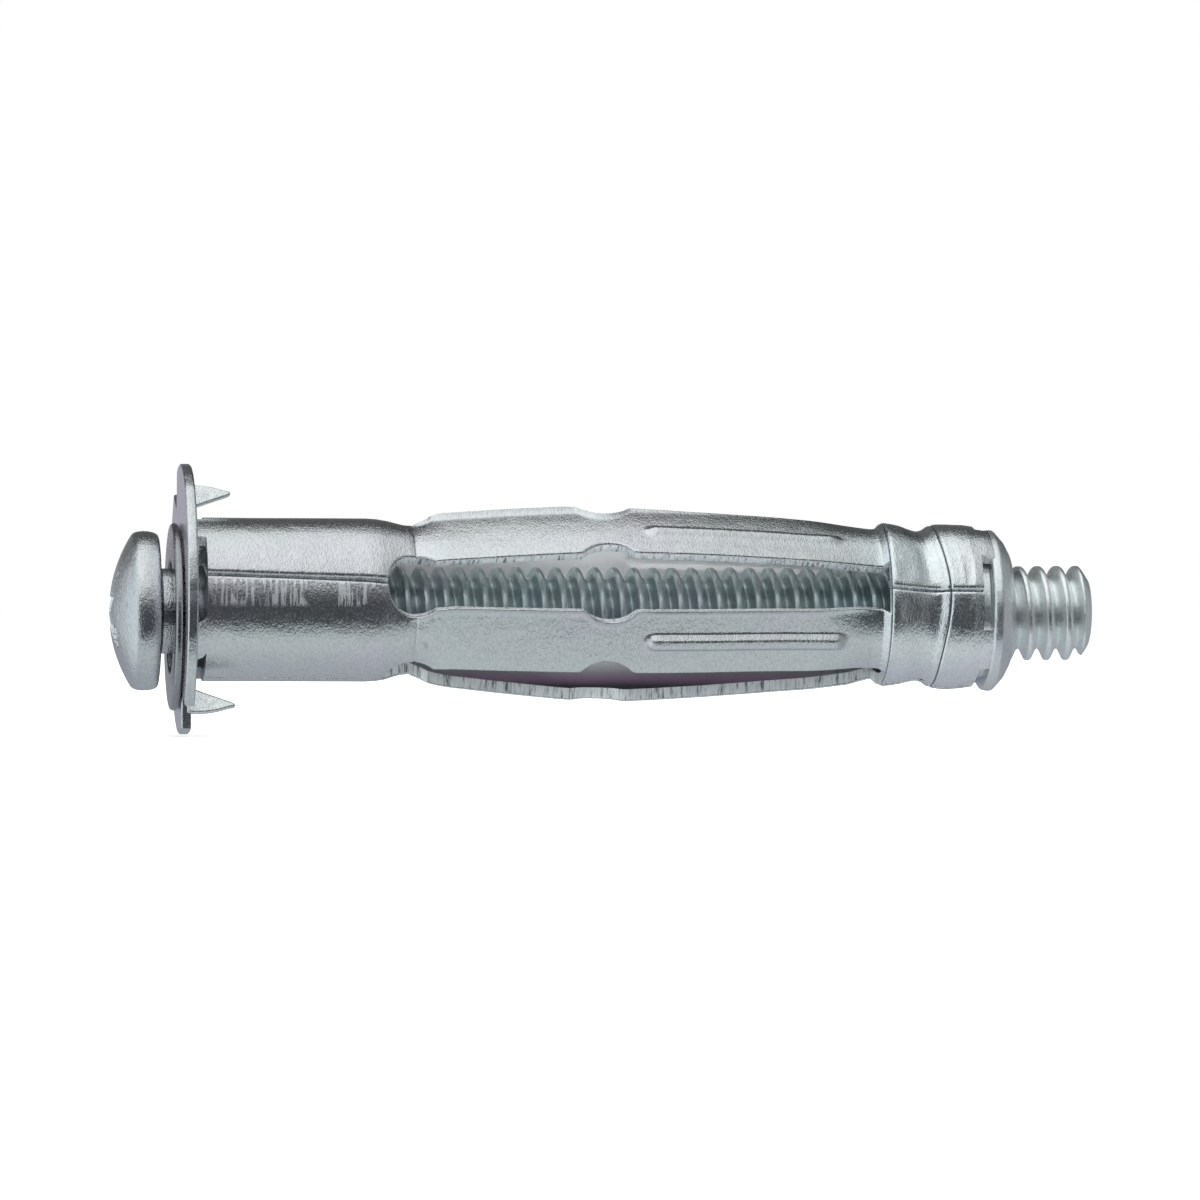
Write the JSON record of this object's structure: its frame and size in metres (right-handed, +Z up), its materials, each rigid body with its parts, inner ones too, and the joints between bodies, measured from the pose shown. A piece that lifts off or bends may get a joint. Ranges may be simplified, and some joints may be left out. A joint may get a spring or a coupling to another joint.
{
  "type": "hollow wall anchor",
  "caption": "Steel hollow wall anchor: slotted folding sleeve with toothed flange plate, crimped flanged nut and pan-head machine screw.",
  "frame": {"origin": "centre of the flange plate's wall face, on the sleeve's axis", "axes": "+X along the sleeve towards the free end of the screw, +Z up as the anchor lies in the picture, -Y towards the viewer"},
  "size_m": [0.0639, 0.0175, 0.0174],
  "materials": {
    "screw": "bright zinc plate",
    "washer": "bright zinc plate",
    "plate": "bright zinc plate",
    "sleeve": "bright zinc plate",
    "nut": "bright zinc plate"
  },
  "bodies": {
    "anchor": {"sleeve": "sleeve", "flange_plate": "plate", "nut": "nut"},
    "washer": {"washer": "washer"},
    "screw": {"screw": "screw"}
  },
  "joints": [
    {"name": "screw_travel", "type": "slide", "parent": "anchor", "child": "washer", "axis": [-1, 0, 0], "range_m": [0, 0.01142]},
    {"name": "screw_turn", "type": "hinge", "parent": "washer", "child": "screw", "pos_m": [0, 0, -0.0006], "axis": [-1, 0, 0], "range_deg": [0, 3240]}
  ],
  "couplings": [
    {"joint": "screw_turn", "follows": "screw_travel", "rad_per_m": 4947.4}
  ]
}
